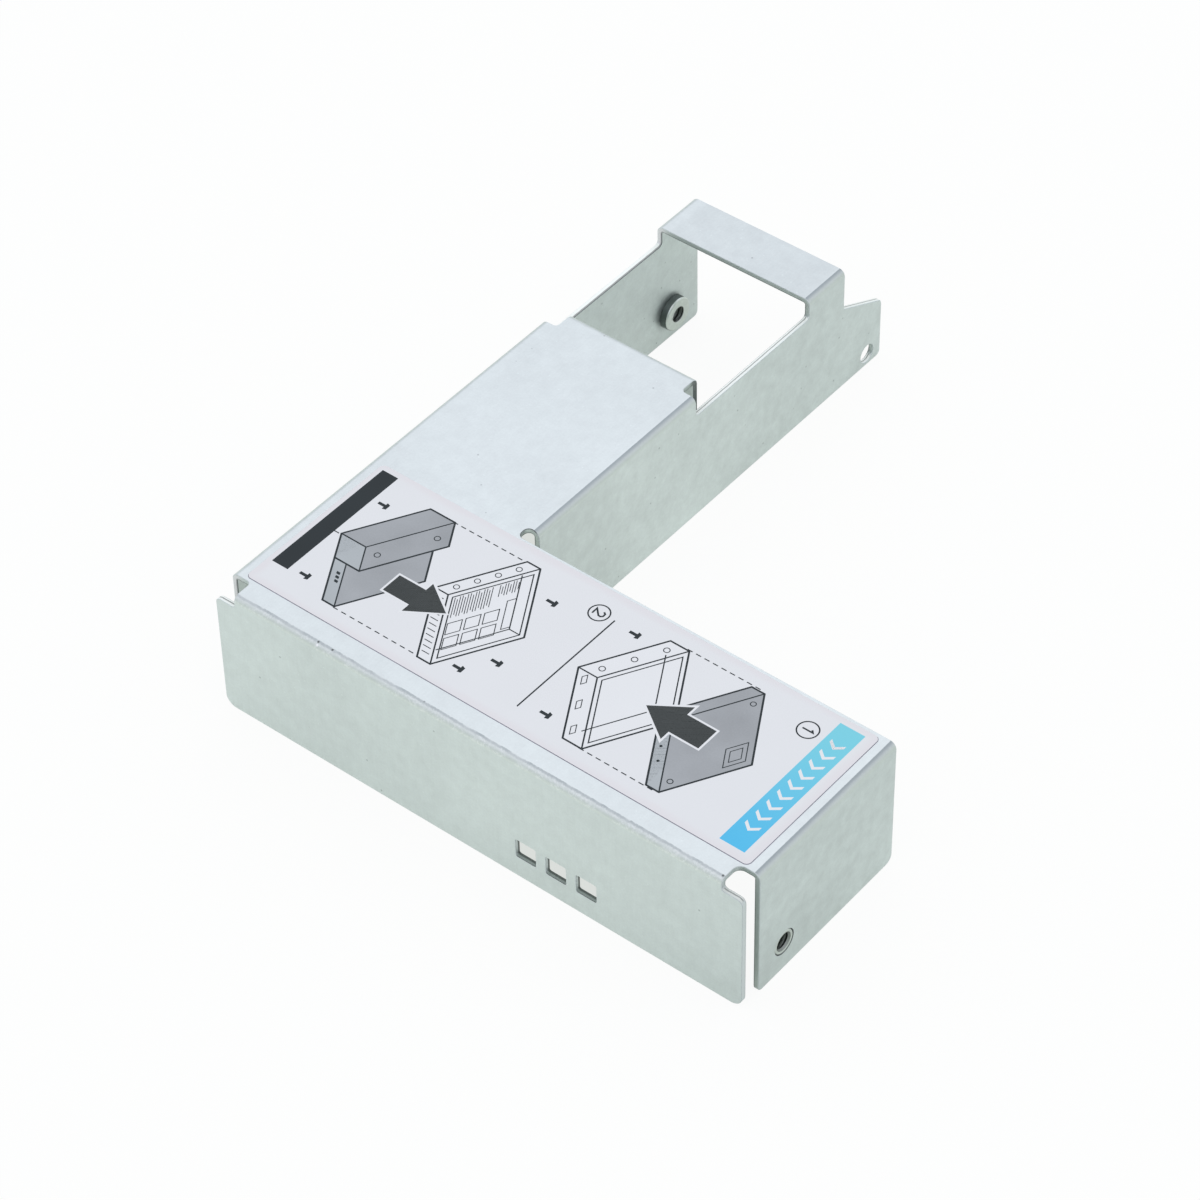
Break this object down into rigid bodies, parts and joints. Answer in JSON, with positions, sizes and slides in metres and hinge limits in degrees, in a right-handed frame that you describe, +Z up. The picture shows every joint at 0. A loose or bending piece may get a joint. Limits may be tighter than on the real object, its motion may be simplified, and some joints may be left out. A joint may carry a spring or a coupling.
{
  "type": "drive bay adapter bracket",
  "caption": "L-shaped bracket folded from sheet steel that carries a small drive in a bay for a large one, with clinched nuts, screw holes and a stuck-on label.",
  "frame": {"origin": "middle of the footprint, in the plane of the walls' lower edges", "axes": "+X across the bay to the end wall's side, +Y from the front wall along the arm to the back, +Z up from the lower edges to the panel"},
  "size_m": [0.1016, 0.1298, 0.0255],
  "materials": {
    "coated_sheet": "zinc-coated steel sheet, dull and finely mottled",
    "nut_steel": "zinc-plated turned steel, satin",
    "label_film": "printed white film with a soft sheen"
  },
  "bodies": {
    "root": {"bracket": "coated_sheet", "nut_left_front": "nut_steel", "nut_left_back": "nut_steel", "nut_right_front": "nut_steel", "instruction_label": "label_film"}
  },
  "joints": []
}
